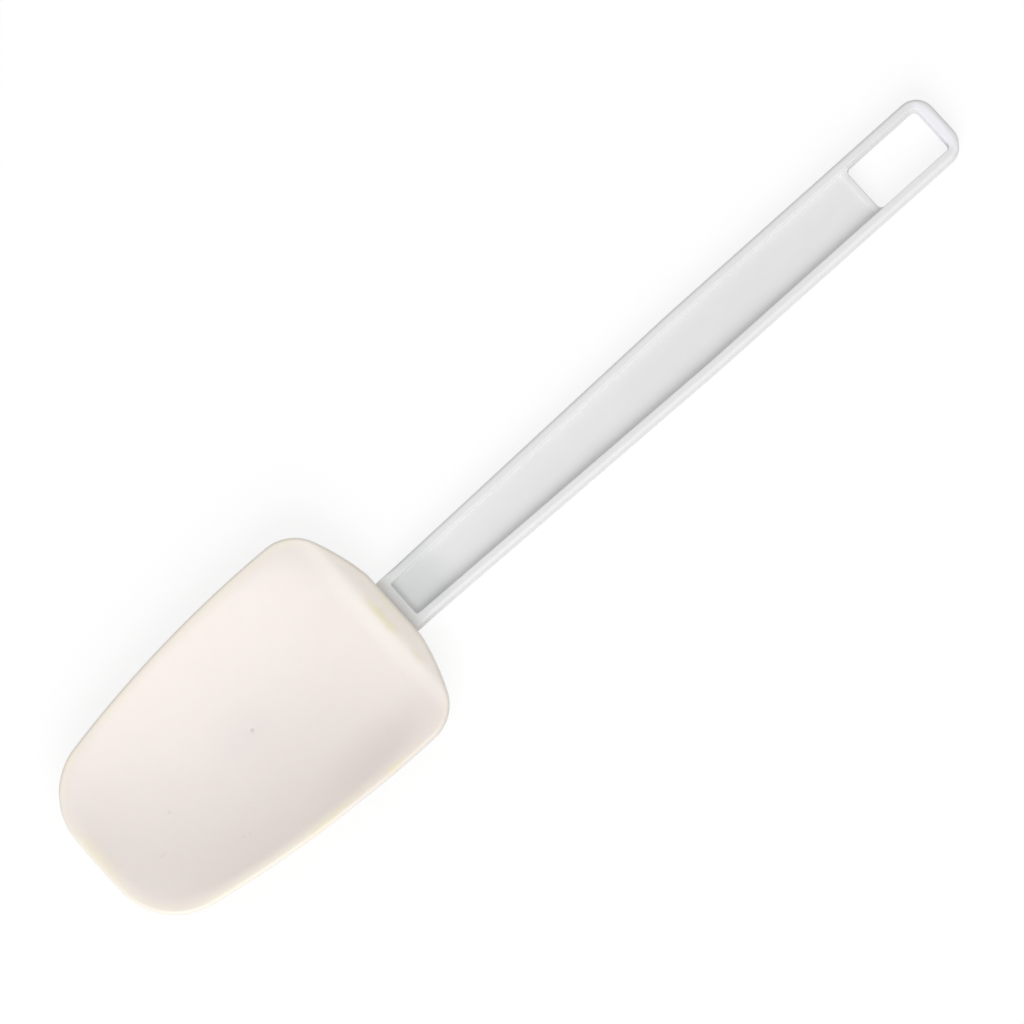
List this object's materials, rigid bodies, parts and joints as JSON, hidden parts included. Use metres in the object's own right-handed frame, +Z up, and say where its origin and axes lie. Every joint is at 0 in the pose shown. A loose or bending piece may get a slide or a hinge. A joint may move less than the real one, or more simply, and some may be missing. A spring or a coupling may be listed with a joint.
{
  "type": "silicone spatula",
  "caption": "Spoon-shaped silicone scraper blade pushed onto the tang of a moulded handle with raised rims, a thin web and a rectangular hanging eye.",
  "frame": {"origin": "under the middle of the whole spatula's box, on the surface that it lies on", "axes": "+X from the blade's tip to the hanging eye, +Z up out of the bowl, +Y across the handle"},
  "size_m": [0.254, 0.0576, 0.0127],
  "materials": {
    "handle_plastic": "semi-gloss white moulded plastic",
    "blade_silicone": "satin ivory silicone"
  },
  "bodies": {
    "handle": {"moulded_handle": "handle_plastic"},
    "blade": {"silicone_blade": "blade_silicone"}
  },
  "joints": [
    {"name": "blade_pull", "type": "slide", "parent": "handle", "child": "blade", "axis": [-1, 0, 0], "range_m": [0, 0.056]}
  ]
}
